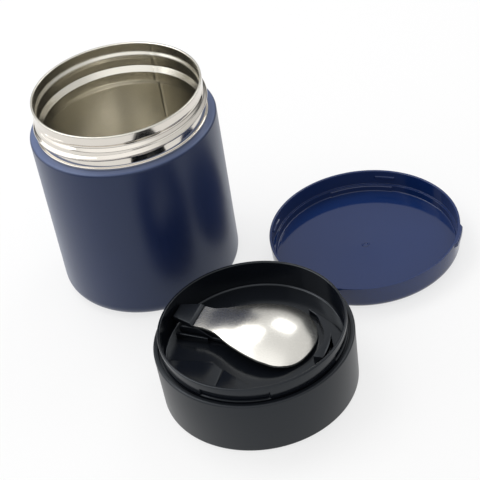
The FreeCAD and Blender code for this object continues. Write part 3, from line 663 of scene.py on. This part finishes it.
lid_piece = turned_mesh("lid_moulding", [
    (0, DECK_UNDER),
    (SKIRT_INSIDE, DECK_UNDER),
    *upright(SKIRT_INSIDE, DECK_UNDER - 1.0, 1.2),
    (SKIRT_INSIDE, 0, 0.5),
    (LID_FOOT, 0, 2.6),
    (LID_RADIUS, LEDGE, 0.9),
    (RING_RADIUS + 0.7, LEDGE, 0.3),
    (RING_RADIUS + 0.6, LEDGE - FOOT_GAP),
    (RING_RADIUS, LEDGE - FOOT_GAP),
    (RING_RADIUS, DECK_TOP),
    (0, DECK_TOP),
], centre=LID, shape=lid_thread, segments=360, steps=6)
seat(lid_piece, "lid", "lid_shell", lid_plastic)

# %% [markdown]
# Below the deck hangs the stopper: a cup full of foam that reaches into the jar's throat, with a silicone
# ring whose thin lip seals on the sloping seat.

# %% Stopper and gasket
CUP = 40.4
CUP_WALL = 1.5
CUP_UNDER = 2.4
CUP_STEP = 1.2
RING_LOW, RING_HIGH = 4.4, 8.2
RING_SEAT = CUP - 0.9
stopper_piece = turned_mesh("stopper", [
    (0, CUP_UNDER),
    (CUP - CUP_STEP, CUP_UNDER, 1.2),
    (CUP - CUP_STEP, 3.8),
    (CUP, 3.8, 0.3),
    (CUP, RING_LOW),
    (RING_SEAT, RING_LOW),
    (RING_SEAT, RING_HIGH),
    (CUP, RING_HIGH),
    (CUP, DECK_UNDER),
    (CUP - CUP_WALL, DECK_UNDER),
    (CUP - CUP_WALL, CUP_UNDER + CUP_WALL, 2.2),
    (0, CUP_UNDER + CUP_WALL),
], centre=LID)
seat(stopper_piece, "lid", "stopper_cup", lid_plastic)

gasket_piece = turned_mesh("sealing_ring", [
    (RING_SEAT, RING_LOW),
    (CUP + 0.6, RING_LOW, 0.4),
    (CUP + 2.1, 6.0, 0.25),
    (CUP + 2.1, 6.7, 0.25),
    (CUP + 0.7, 6.0, 0.3),
    (CUP + 0.7, RING_HIGH, 0.3),
    (RING_SEAT, RING_HIGH),
], centre=LID)
seat(gasket_piece, "lid", "lid_gasket", silicone)

# %% [markdown]
# The compartment is a shallow dish with a thin ring for its wall. The ring's outside has four long shallow
# windows. Cutting them with a boolean would leave rough shading on a thin round wall, so the turned wall
# is stepped in by angle instead.

# %% Compartment
RING_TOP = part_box("spoon_tray")[1].z / MM
RING_INSIDE = RING_RADIUS - 1.5
TRAY_FLOOR = 23.5
WINDOW_HALF = math.radians(21.25)
WINDOW_DEEP = 0.7
WINDOW_TURN = math.radians(-17.7)
WINDOW_FOOT, WINDOW_HEAD = LEDGE + 0.1, LEDGE + 4.4


def ring_windows(r, z, angle):
    """Steps the ring's outside in at its four windows."""
    if r < RING_RADIUS - 0.01 or not WINDOW_FOOT < z < WINDOW_HEAD:
        return r, z
    quarter = math.pi / 2
    off = abs((angle - WINDOW_TURN + quarter / 2) % quarter - quarter / 2)
    edge = min(1.0, max(0.0, (WINDOW_HALF - off) * r / 0.5))
    ends = min(1.0, (z - WINDOW_FOOT) / 0.3, (WINDOW_HEAD - z) / 0.3)
    return r - WINDOW_DEEP * edge * max(0.0, ends), z


tray = bmesh.new()
dish = turned_mesh("dish", [
    (0, DECK_TOP),
    (RING_RADIUS, DECK_TOP),
    *upright(RING_RADIUS, LEDGE - 0.6, LEDGE + 5.0, 0.25),
    (RING_RADIUS, RING_TOP, 0.5),
    (RING_INSIDE, RING_TOP, 0.5),
    (RING_INSIDE, TRAY_FLOOR, 1.2),
    (0, TRAY_FLOOR),
], centre=LID, shape=ring_windows, segments=480)
tray.from_mesh(dish.data)
bpy.data.objects.remove(dish)

# %% [markdown]
# On the floor stand two rails beside the spoon's hinge and a rest round its tip: a band that widens into a
# platform at the wall, with a notch between. Two low pads lie towards the front. Curved edges are drawn
# as a few points with a smooth line through them.

# %% Rails, rest and pads
NECK_END = Vector((-24.9, 18.5))


def lid_point(x, y):
    return (LID[0] + x, LID[1] + y)


def spoon_point(along, across):
    x = NECK_END.x + along * math.cos(SPOON_TURN) - across * math.sin(SPOON_TURN)
    y = NECK_END.y + along * math.sin(SPOON_TURN) + across * math.cos(SPOON_TURN)
    return lid_point(x, y)


def smooth_run(points, per=5):
    """A smooth line through points, without its last one."""
    ends = [points[0], *points, points[-1]]
    line = []
    for i in range(1, len(ends) - 2):
        p = [Vector(q) for q in ends[i - 1:i + 3]]
        for k in range(per):
            u = k / per
            line.append(tuple(0.5 * (
                2 * p[1] + (p[2] - p[0]) * u
                + (2 * p[0] - 5 * p[1] + 4 * p[2] - p[3]) * u ** 2
                + (3 * p[1] - p[0] - 3 * p[2] + p[3]) * u ** 3)))
    return line


def lid_arc(radius, start, end, steps=12):
    """Points on a circle round the lid's centre, between two plan angles in degrees."""
    angles = [math.radians(start + (end - start) * k / steps) for k in range(steps + 1)]
    return [(radius * math.cos(a), radius * math.sin(a)) for a in angles]


for side in (-1, 1):
    corners = [(-9.5, 8.4), (8.0, 8.4), (8.0, 9.8), (-9.5, 9.8)]
    outline = [spoon_point(along, side * across) for along, across in corners]
    raised_mesh(tray, outline, TRAY_FLOOR - 0.2, TRAY_FLOOR + 3.5)

tip_rest = [
    *smooth_run([(28.9, 14.3), (33.5, 10.0), (37.7, 3.5), (40.6, -0.8), (42.6, -6.0), (44.6, -7.9)]),
    *lid_arc(45.3, -10.1, -34.3),
    (36.9, -24.6),
    *lid_arc(37.5, -11.3, -35.0),
    *smooth_run([(26.2, -19.2), (29.9, -13.8), (32.6, -9.3), (33.7, -4.3), (33.6, -0.2), (32.9, 4.6),
                 (32.0, 9.2), (30.4, 12.2), (28.9, 14.3)]),
]
front_pad = [(-16.9, -15.2), (-4.0, -32.0), (-3.0, -45.0), (-28.0, -35.2), (-21.9, -25.5)]
left_step = [(-45.2, -0.5), (-27.5, -5.5), (-21.6, -7.6), (-17.6, -14.4), (-22.3, -25.5),
             (-28.4, -35.2), (-38.0, -24.0)]
for outline, height in ((tip_rest, 4.0), (front_pad, 1.6), (left_step, 0.8)):
    points = [lid_point(*p) for p in outline]
    raised_mesh(tray, points, TRAY_FLOOR - 0.3, TRAY_FLOOR + height)
tray_piece = finish_mesh("compartment", tray)
seat(tray_piece, "lid", "spoon_tray", tray_plastic)

# %% [markdown]
# The spoon lies folded with its bowl turned over, so the back of the bowl shows. Its surface is a grid:
# along the spoon it follows a crown line, and across the spoon each row is an arc. The rim's outline sets
# how far each row reaches, so neck, shoulders and tip are one smooth sheet.

# %% Spoon bowl
NECK_TOP = 31.9
SPOON_SHEET = 1.1
CROWN = [(0.0, 0.0, 400.0), (7.0, 0.1, 90.0), (16.0, 1.7, 35.5), (27.0, 3.8, 33.0),
         (39.0, 4.2, 33.1), (50.0, 1.0, 33.1), (57.5, -3.6, 26.3), (63.5, -8.2, 22.4)]
WIDEST = 44.0
BOWL_HALF = 20.3
BOWL_LENGTH = 60.2
RIM = [(0.0, 7.4), (5.0, 7.4), (12.0, 9.3), (22.0, 14.9), (30.0, 18.1), (38.0, 20.1),
       (WIDEST, BOWL_HALF), (50.0, BOWL_HALF)]


def spline(points, column):
    """A smooth curve through points; gives the column's value at a distance along."""
    def tangent(i):
        a, b = points[max(i - 1, 0)], points[min(i + 1, len(points) - 1)]
        return (b[column] - a[column]) / (b[0] - a[0])

    def at(x):
        x = min(max(x, points[0][0]), points[-1][0])
        i = next(k for k in range(len(points) - 1) if x <= points[k + 1][0])
        a, b = points[i], points[i + 1]
        span = b[0] - a[0]
        u = (x - a[0]) / span
        h00, h10 = 2 * u ** 3 - 3 * u ** 2 + 1, u ** 3 - 2 * u ** 2 + u
        h01, h11 = 3 * u ** 2 - 2 * u ** 3, u ** 3 - u ** 2
        return (h00 * a[column] + h10 * span * tangent(i)
                + h01 * b[column] + h11 * span * tangent(i + 1))
    return at


crown_at = spline(CROWN, 1)
bend_at = spline([(s, z, 1 / c) for s, z, c in CROWN], 2)


def rim_outline(count=90):
    """Half of the rim as (along, half width): a smooth line to the widest place, then an ellipse."""
    half_at = spline(RIM, 1)
    rows = []
    for k in range(count + 1):
        s = BOWL_LENGTH * math.sin(math.pi / 2 * k / count)
        past = max(0.0, (s - WIDEST) / (BOWL_LENGTH - WIDEST))
        rows.append((s, half_at(s) if past == 0 else BOWL_HALF * math.sqrt(max(0.0, 1 - past ** 2))))
    return rows


def bowl_mesh(name, across=40):
    mesh = bmesh.new()
    top_rows, low_rows = [], []
    for s, half in rim_outline():
        top_row, low_row = [], []
        for k in range(across + 1):
            y = half * math.sin(math.pi / 2 * (2 * k / across - 1))
            bend = bend_at(s)
            z = NECK_TOP + crown_at(s) - bend * y * y / 2 - bend ** 3 * y ** 4 / 8
            px, py = spoon_point(s, y)
            top_row.append(mesh.verts.new((px * MM, py * MM, z * MM)))
            low_row.append(mesh.verts.new((px * MM, py * MM, (z - SPOON_SHEET) * MM)))
        top_rows.append(top_row)
        low_rows.append(low_row)
    for rows, flip in ((top_rows, False), (low_rows, True)):
        for a, b in zip(rows, rows[1:]):
            for k in range(across):
                quad = (a[k], b[k], b[k + 1], a[k + 1])
                mesh.faces.new(tuple(reversed(quad)) if flip else quad)
    for i in range(len(top_rows) - 1):
        for k in (0, across):
            mesh.faces.new((top_rows[i][k], top_rows[i + 1][k], low_rows[i + 1][k], low_rows[i][k]))
    for i in (0, -1):
        for k in range(across):
            mesh.faces.new((top_rows[i][k], top_rows[i][k + 1], low_rows[i][k + 1], low_rows[i][k]))
    bmesh.ops.remove_doubles(mesh, verts=mesh.verts[:], dist=0.00001)
    piece = finish_mesh(name, mesh, sharp=50)
    bevel = piece.modifiers.new("rim", "BEVEL")
    bevel.width = 0.3 * MM
    bevel.segments = 3
    bevel.limit_method = "ANGLE"
    bevel.angle_limit = math.radians(50)
    return piece


bowl_piece = bowl_mesh("upturned_bowl")
seat(bowl_piece, "bowl", "spoon_bowl", spoon_steel)

# %% [markdown]
# The hinge block is moulded on the neck: a cap over the handle's two ears and a tongue between them. The
# handle lies flat underneath; its long hollow for the thumb is left out, so it is drawn as a flat plate.

# %% Hinge block and handle
def along_spoon():
    x, y = spoon_point(0, 0)
    return Matrix.Translation((x * MM, y * MM, 0)) @ Matrix.Rotation(SPOON_TURN, 4, "Z")


PIN_BACK = 6.0
PIN_HEIGHT = 28.0
EAR = 2.3
CAP_UNDER, CAP_TOP = 30.6, 33.2
BLOCK_HALF = 8.0
EAR_SLOT = 4.9
HANDLE_HALF = 7.5
HANDLE_REACH = 54
PLATE_START = 0.4
EAR_FRONT = 9.5
HANDLE_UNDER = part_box("spoon_handle")[0].z / MM
HANDLE_TOP = HANDLE_UNDER + 2.1
ON_EDGE = Matrix.Rotation(math.radians(90), 4, "X")


def stadium_side(x0, x1, z, radius, points=16):
    """Side view of a bar with one round end at x0."""
    rim = [(x1, z - radius)]
    for k in range(points + 1):
        angle = -math.pi / 2 - math.pi * k / points
        rim.append((x0 + radius * math.cos(angle), z + radius * math.sin(angle)))
    return rim + [(x1, z + radius)]


def side_prism(mesh, outline, low, high, bevel):
    """A prism drawn in side view, from one side of the spoon to the other."""
    raised_mesh(mesh, outline, -high, -low, bevel=bevel, place=along_spoon() @ ON_EDGE)


def tapered_cap(mesh):
    """The cap: its front edge slopes to the neck, and its sides draw in to the rear."""
    back, front, rear_half, slope = -12.2, -0.3, 4.6, 1.8
    profile = [(back, CAP_UNDER), (front, CAP_UNDER), (front, NECK_TOP + 0.2),
               (front - slope, CAP_TOP), (back, CAP_TOP)]
    part = bmesh.new()
    rows = []
    for side in (-1, 1):
        row = []
        for x, z in profile:
            half = rear_half + (BLOCK_HALF - rear_half) * (x - back) / (front - back)
            row.append(part.verts.new((x * MM, side * half * MM, z * MM)))
        rows.append(row)
        part.faces.new(row)
    for i in range(len(profile)):
        n = (i + 1) % len(profile)
        part.faces.new((rows[0][i], rows[0][n], rows[1][n], rows[1][i]))
    bmesh.ops.recalc_face_normals(part, faces=part.faces[:])
    bmesh.ops.bevel(part, geom=part.edges[:], offset=0.45 * MM, segments=3, profile=0.5,
                    affect="EDGES")
    add_part(mesh, part, along_spoon())


block = bmesh.new()
tapered_cap(block)
tongue = [(-PIN_BACK + EAR, CAP_UNDER + 0.2), (-PIN_BACK - EAR, CAP_UNDER + 0.2)]
for k in range(17):
    angle = math.pi + math.pi * k / 16
    tongue.append((-PIN_BACK + EAR * math.cos(angle), PIN_HEIGHT + EAR * math.sin(angle)))
side_prism(block, tongue, -4.5, 4.5, 0.0)
block_piece = finish_mesh("hinge_block", block)
seat(block_piece, "bowl", "hinge_knuckle", lid_plastic)

handle = bmesh.new()
round_start = HANDLE_REACH - HANDLE_HALF
plate = [(PLATE_START, -HANDLE_HALF), (round_start, -HANDLE_HALF)]
for k in range(1, 24):
    angle = -math.pi / 2 + math.pi * k / 24
    plate.append((round_start + HANDLE_HALF * math.cos(angle), HANDLE_HALF * math.sin(angle)))
plate += [(round_start, HANDLE_HALF), (PLATE_START, HANDLE_HALF)]
raised_mesh(handle, plate, HANDLE_UNDER, HANDLE_TOP, bevel=0.6, place=along_spoon())
for side in (-1, 1):
    ear = stadium_side(-PIN_BACK, 2.2, PIN_HEIGHT, EAR)
    root = [(EAR_FRONT, HANDLE_TOP), (EAR_FRONT, HANDLE_UNDER + 0.3), (PLATE_START, HANDLE_UNDER + 0.3)]
    ear = [(PLATE_START, PIN_HEIGHT - EAR), *ear[1:], *root]
    near, far = sorted((side * EAR_SLOT, side * HANDLE_HALF))
    side_prism(handle, ear, near, far, 0.25)
handle_piece = finish_mesh("folded_handle", handle)
seat(handle_piece, "handle", "spoon_handle", lid_plastic)

# %% [markdown]
# The cover lies on its back. Its skirt is thin at the rim and steps to a thicker wall lower down, with
# four catch lugs just inside the rim, a finger tab outside, and the small round mark at the middle of the
# plate where the plastic entered the mould.

# %% Cover
COVER = (116.4, -20.7)
COVER_TURN = math.radians(-23)
COVER_RADIUS = 51.5
COVER_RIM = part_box("snap_cover")[1].z / MM
SKIRT = 1.3
STEP = 5.7
PLATE = 1.8
COVER_INNER = 48.9
LUG_HALF = math.radians(6.5)
LUG_PROUD = 0.7
LUG_LOW, LUG_HIGH = 9.1, 10.9
TAB_HALF = math.radians(10)
TAB_PROUD = 1.3
TAB_UNDER = COVER_RIM - 2.6
THICK_MIDDLE = math.radians(83)
THICK_HALF = math.radians(21)
THICK_PROUD = 0.6
THICK_TOP = 5.0


def ramp(value, width):
    """0 below zero, 1 above width, and a straight line between."""
    return min(1.0, max(0.0, value / width))


def turn_between(angle, middle):
    return abs((angle - middle + math.pi) % (2 * math.pi) - math.pi)


def cover_shape(r, z, angle):
    """Lugs inside the rim, a finger tab outside it, and a thicker stretch of the lower wall."""
    if abs(r - (COVER_RADIUS - SKIRT)) < 0.05 and LUG_LOW < z < LUG_HIGH:
        quarter = math.pi / 2
        off = abs((angle - COVER_TURN + quarter / 2) % quarter - quarter / 2)
        up = ramp(z - LUG_LOW, 0.5) * ramp(LUG_HIGH - z, 0.3)
        return r - LUG_PROUD * ramp((LUG_HALF - off) * r, 0.5) * up, z
    if r > COVER_RADIUS - 0.6 and z > TAB_UNDER:
        off = turn_between(angle, COVER_TURN)
        up = ramp(z - TAB_UNDER, 0.3) * (0.75 + 0.25 * ramp(COVER_RIM - z, 0.5))
        return r + TAB_PROUD * ramp((TAB_HALF - off) * r, 2.0) * up, z
    if COVER_INNER - 1.0 < r < COVER_INNER + 0.05 and z < THICK_TOP:
        off = turn_between(angle, THICK_MIDDLE)
        up = ramp(THICK_TOP - z, 0.25)
        return r - THICK_PROUD * ramp((THICK_HALF - off) * r, 0.4) * up, z
    return r, z


cover_piece = turned_mesh("navy_cover", [
    (0, 0),
    (COVER_RADIUS - 0.4, 0, 5.0),
    *upright(COVER_RADIUS, TAB_UNDER - 0.2, COVER_RIM - 0.5, 0.2),
    (COVER_RADIUS, COVER_RIM, 0.4),
    (COVER_RADIUS - SKIRT, COVER_RIM, 0.4),
    *upright(COVER_RADIUS - SKIRT, COVER_RIM - 1.2, STEP + 0.5, 0.15),
    (COVER_RADIUS - SKIRT, STEP, 0.2),
    (COVER_INNER, STEP, 0.3),
    *upright(COVER_INNER, STEP - 0.4, PLATE + 1.3, 0.15),
    (COVER_INNER, PLATE, 0.5),
    (2.2, PLATE, 0.1),
    (1.9, PLATE + 0.4, 0.1),
    (1.4, PLATE + 0.4, 0.1),
    (1.0, PLATE - 0.1, 0.1),
    (0, PLATE - 0.1),
], centre=COVER, shape=cover_shape, segments=600, steps=6)
seat(cover_piece, "cover", "snap_cover", cover_plastic)

# %% [markdown]
# What stays as construction, because nothing of it needs a finer shape, still gets its real material.

# %% Hidden pieces
for node, material in {
    "outer_bottom": pressed_steel,
    "vacuum_plug": pressed_steel,
    "getter": pressed_steel,
    "hinge_pin": pressed_steel,
    "radiation_foil": foil,
    "insulation_disc": foam,
}.items():
    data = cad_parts[node].data
    data.materials.clear()
    data.materials.append(material)

# %% [markdown]
# The table is plain and pale. To the camera and in the steel's reflections it is almost white, and it
# still takes the soft shadow, so the pieces stand on something.

# %% Table
TABLE_GLOW = 0.72
TABLE_HALF = 3.0
TABLE_DROP = 0.0002


def pale_table():
    finish = Finish("pale_table")
    finish.surface(Base_Color=(0.86, 0.86, 0.86, 1), Roughness=0.7)
    nodes, links = finish.tree.nodes, finish.tree.links
    glow = nodes.new("ShaderNodeEmission")
    glow.inputs["Color"].default_value = (1, 1, 1, 1)
    mix = nodes.new("ShaderNodeMixShader")
    path = nodes.new("ShaderNodeLightPath")
    seen = path.outputs["Is Camera Ray"]
    for ray in ("Is Glossy Ray", "Is Transmission Ray"):
        either = nodes.new("ShaderNodeMath")
        either.operation = "MAXIMUM"
        links.new(seen, either.inputs[0])
        links.new(path.outputs[ray], either.inputs[1])
        seen = either.outputs[0]
    share = nodes.new("ShaderNodeMath")
    share.operation = "MULTIPLY"
    share.inputs[1].default_value = TABLE_GLOW
    links.new(seen, share.inputs[0])
    links.new(share.outputs[0], mix.inputs[0])
    links.new(finish.shader.outputs[0], mix.inputs[1])
    links.new(glow.outputs[0], mix.inputs[2])
    links.new(mix.outputs[0], nodes["Material Output"].inputs["Surface"])
    return finish.material


floor_mesh = bmesh.new()
bmesh.ops.create_grid(floor_mesh, x_segments=1, y_segments=1, size=TABLE_HALF)
table = finish_mesh("table_top", floor_mesh)
table.location.z = -TABLE_DROP
table.data.materials.append(pale_table())

# %% [markdown]
# Light: a broad soft panel on the left, two small ones high behind the jar, and a pale room. Steel only
# looks like steel when it has something dark to mirror, so in reflections the room goes dark just above
# the table's edge, and that draws the fine dark lines along the neck's rolled edges. The room gives less
# light than it shows in reflections, so that the navy keeps its depth.

# %% Light
def soft_panel(name, place, aim, size, power):
    lamp = bpy.data.lights.new(name, "AREA")
    lamp.shape = "RECTANGLE"
    lamp.size, lamp.size_y = size
    lamp.energy = power
    holder = bpy.data.objects.new(name, lamp)
    bpy.context.scene.collection.objects.link(holder)
    holder.location = place
    holder.rotation_mode = "QUATERNION"
    holder.rotation_quaternion = (Vector(aim) - Vector(place)).to_track_quat("-Z", "Y")
    return holder


AIM = (0.05, -0.05, 0.05)
soft_panel("left_panel", (-0.75, 0.05, 0.35), AIM, (0.8, 1.5), 4.0)
soft_panel("right_panel", (0.47, 0.48, 0.76), AIM, (0.38, 0.38), 1.1)
soft_panel("top_panel", (-0.28, 0.32, 0.85), AIM, (0.45, 0.45), 2.2)

LIGHT_WAY = Vector((-0.40, 0.0, 0.92))
LIGHT_STOPS = [(0.0, 0.10), (0.35, 0.25), (0.60, 0.60), (1.0, 0.90)]
MIRROR_WAY = Vector((-0.25, -0.75, 0.61))
MIRROR_STOPS = [(0.12, 0.35), (0.39, 0.58), (0.60, 0.60), (0.80, 0.66), (0.94, 1.0)]
MIRROR_STRENGTH = 1.25
HORIZON_STOPS = [(0.50, 0.12), (0.56, 0.30), (0.63, 1.0)]


def room_fade(nodes, links, way, stops):
    """A shade that runs along one direction of the room."""
    place = nodes.new("ShaderNodeTexCoord")
    along = nodes.new("ShaderNodeVectorMath")
    along.operation = "DOT_PRODUCT"
    along.inputs[1].default_value = way
    half = nodes.new("ShaderNodeMath")
    half.operation = "MULTIPLY_ADD"
    half.inputs[1].default_value = 0.5
    half.inputs[2].default_value = 0.5
    fade = nodes.new("ShaderNodeValToRGB")
    set_stops(fade.color_ramp, stops)
    links.new(place.outputs["Generated"], along.inputs[0])
    links.new(along.outputs["Value"], half.inputs[0])
    links.new(half.outputs[0], fade.inputs[0])
    return fade.outputs["Color"]


def room_light():
    """White to the camera, pale and uneven in reflections, and dimmer where it only gives light."""
    world = bpy.data.worlds.new("pale_room")
    bpy.context.scene.world = world
    world.use_nodes = True
    nodes, links = world.node_tree.nodes, world.node_tree.links
    nodes.clear()
    out = nodes.new("ShaderNodeOutputWorld")
    path = nodes.new("ShaderNodeLightPath")
    seen = nodes.new("ShaderNodeBackground")
    seen.inputs["Color"].default_value = (1, 1, 1, 1)
    seen.inputs["Strength"].default_value = 1.0
    light = nodes.new("ShaderNodeBackground")
    links.new(room_fade(nodes, links, LIGHT_WAY, LIGHT_STOPS), light.inputs["Color"])
    mirrored = nodes.new("ShaderNodeBackground")
    mirrored.inputs["Strength"].default_value = MIRROR_STRENGTH
    both = nodes.new("ShaderNodeVectorMath")
    both.operation = "MULTIPLY"
    links.new(room_fade(nodes, links, MIRROR_WAY, MIRROR_STOPS), both.inputs[0])
    links.new(room_fade(nodes, links, Vector((0, 0, 1)), HORIZON_STOPS), both.inputs[1])
    links.new(both.outputs[0], mirrored.inputs["Color"])
    last = light
    for ray, shade in (("Is Glossy Ray", mirrored), ("Is Transmission Ray", seen), ("Is Camera Ray", seen)):
        mix = nodes.new("ShaderNodeMixShader")
        links.new(path.outputs[ray], mix.inputs[0])
        links.new(last.outputs[0], mix.inputs[1])
        links.new(shade.outputs[0], mix.inputs[2])
        last = mix
    links.new(last.outputs[0], out.inputs["Surface"])


room_light()
bpy.context.scene.view_settings.view_transform = "Standard"

# %% [markdown]
# The camera stands where the photograph was taken: a short telephoto lens, looking down at 38 degrees,
# rolled by ten degrees. Place, tilt and lens come from fitting the rims' ellipses.

# %% Camera
CAMERA_PLACE = Vector((49.18, -633.30, 502.09)) * MM
PITCH = 0.667
ROLL = -0.172
LENS = 108.7
SENSOR = 36
camera_data = bpy.data.cameras.new("camera")
camera_data.lens = LENS
camera_data.sensor_width = SENSOR
camera = bpy.data.objects.new("camera", camera_data)
bpy.context.scene.collection.objects.link(camera)
forward = Vector((0, math.cos(PITCH), -math.sin(PITCH)))
level = Vector((1, 0, 0))
upward = level.cross(forward)
right = math.cos(ROLL) * level + math.sin(ROLL) * upward
up = -math.sin(ROLL) * level + math.cos(ROLL) * upward
camera.matrix_world = Matrix((
    (right.x, up.x, -forward.x, CAMERA_PLACE.x),
    (right.y, up.y, -forward.y, CAMERA_PLACE.y),
    (right.z, up.z, -forward.z, CAMERA_PLACE.z),
    (0, 0, 0, 1),
))
bpy.context.scene.camera = camera
